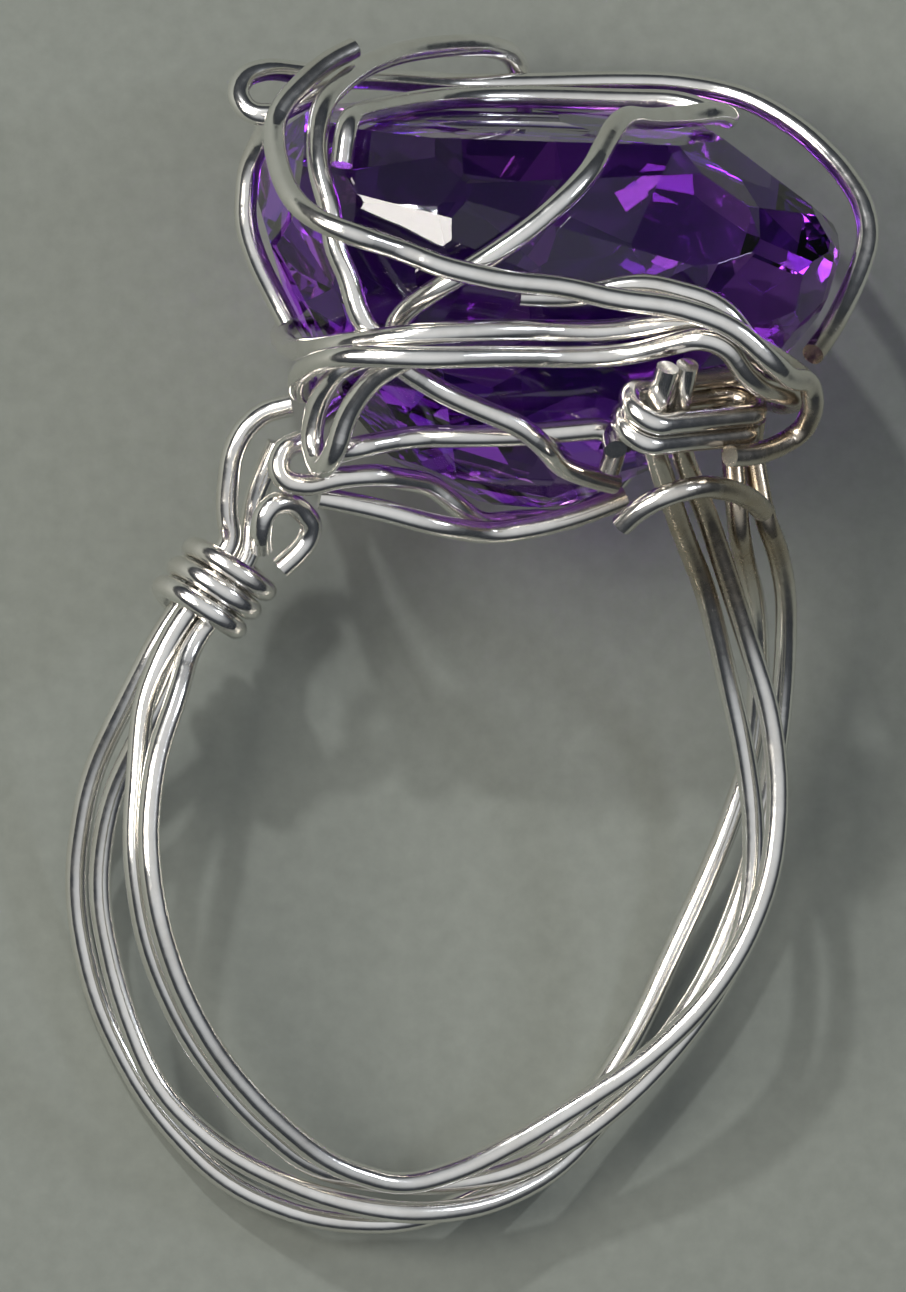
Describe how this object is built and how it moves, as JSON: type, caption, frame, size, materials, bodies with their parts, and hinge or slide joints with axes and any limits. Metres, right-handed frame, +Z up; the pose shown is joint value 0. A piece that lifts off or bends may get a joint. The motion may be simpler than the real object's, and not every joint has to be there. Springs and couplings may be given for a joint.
{
  "type": "wire wrapped ring",
  "caption": "Hand-wrapped finger ring: a band of twisted round wire that carries a large faceted purple stone in an open cage of the same wire.",
  "frame": {"origin": "middle of the bounding box's bottom, on the surface that the ring lies on", "axes": "+Z up from the surface; +Y from the finger hole to the stone; +X to the right, seen from above"},
  "size_m": [0.0234, 0.0342, 0.0148],
  "materials": {
    "amethyst": "polished facets",
    "silver_wire": "bright drawn wire, lightly worn"
  },
  "bodies": {
    "root": {"stone": "amethyst", "left_coil": "silver_wire", "shank_strand_1": "silver_wire", "shank_strand_2": "silver_wire", "shank_strand_3": "silver_wire", "shank_strand_4": "silver_wire", "cage_outline_wire": "silver_wire", "cage_top_rail": "silver_wire", "cage_diagonal_wire": "silver_wire", "cage_left_wire": "silver_wire", "cage_front_wire": "silver_wire", "cage_front_second": "silver_wire", "base_wrap_upper": "silver_wire", "base_wrap_middle": "silver_wire", "base_wrap_lower": "silver_wire", "base_wrap_lowest": "silver_wire", "left_hairpin": "silver_wire", "left_rosette": "silver_wire", "right_binding": "silver_wire", "right_hook": "silver_wire"}
  },
  "joints": []
}
